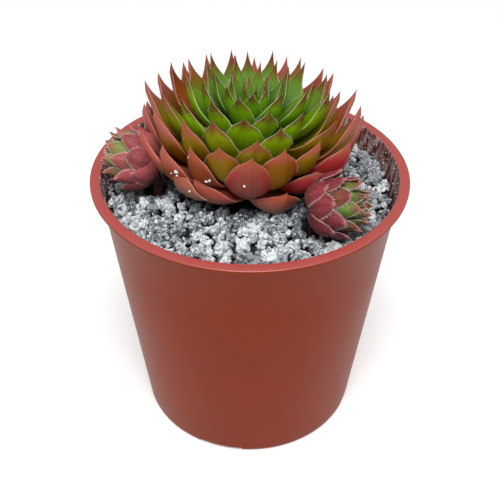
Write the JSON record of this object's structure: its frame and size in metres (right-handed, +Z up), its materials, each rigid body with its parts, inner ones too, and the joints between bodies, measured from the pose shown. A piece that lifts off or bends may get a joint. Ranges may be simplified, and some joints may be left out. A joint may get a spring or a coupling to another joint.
{
  "type": "potted houseleek",
  "caption": "Globe-shaped rosette of pointed fleshy leaves with closed young offsets, growing in pale pumice grit in a thin round nursery pot with a drained base",
  "frame": {"origin": "centre of the pot's foot, on the surface that it stands on", "axes": "+Z up, along the pot's axis; -Y toward the viewer of the front, where the rosette's broad red leaf is; +X to that viewer's right"},
  "size_m": [0.085, 0.085, 0.1047],
  "materials": {
    "pot_plastic": "thin satin terracotta-coloured nursery pot plastic",
    "potting_soil": "dark moist potting mix",
    "pumice_grit": "dry angular pale grey pumice grit",
    "leaf": "fleshy green leaves, satin, dark red at the tips and red on the oldest leaves",
    "young_leaf": "fleshy deep pink-red young leaves with a short pale down, green at the heart"
  },
  "bodies": {
    "root": {"pot": "pot_plastic", "soil": "potting_soil", "grit": "pumice_grit", "rosette": "leaf", "offset_left": "young_leaf", "offset_right": "young_leaf"}
  },
  "joints": []
}
